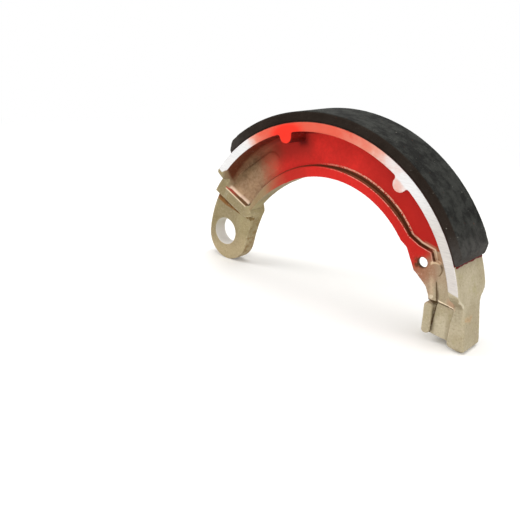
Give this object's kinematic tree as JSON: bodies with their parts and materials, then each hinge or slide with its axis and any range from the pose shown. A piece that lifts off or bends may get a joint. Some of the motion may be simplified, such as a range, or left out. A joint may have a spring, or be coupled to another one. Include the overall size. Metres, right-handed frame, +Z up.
{
  "type": "brake shoe",
  "caption": "Cast aluminium drum brake shoe with a bonded friction lining, a half-lapped pivot eye and a forked cam end.",
  "frame": {"origin": "centre of the pivot bore, half way through the eye", "axes": "+Y along the pivot bore and the drum axis, towards the back; +Z up with the shoe standing on its eye and its toe; +X towards the cam end"},
  "size_m": [0.1468, 0.0246, 0.0835],
  "materials": {
    "casting": "bead-blasted casting with machined rim faces and thin red overspray",
    "lining": "matt moulded friction composite",
    "adhesive": "cured dark red adhesive"
  },
  "bodies": {
    "root": {"shoe_casting": "casting", "friction_lining": "lining", "bond_adhesive": "adhesive"}
  },
  "joints": []
}
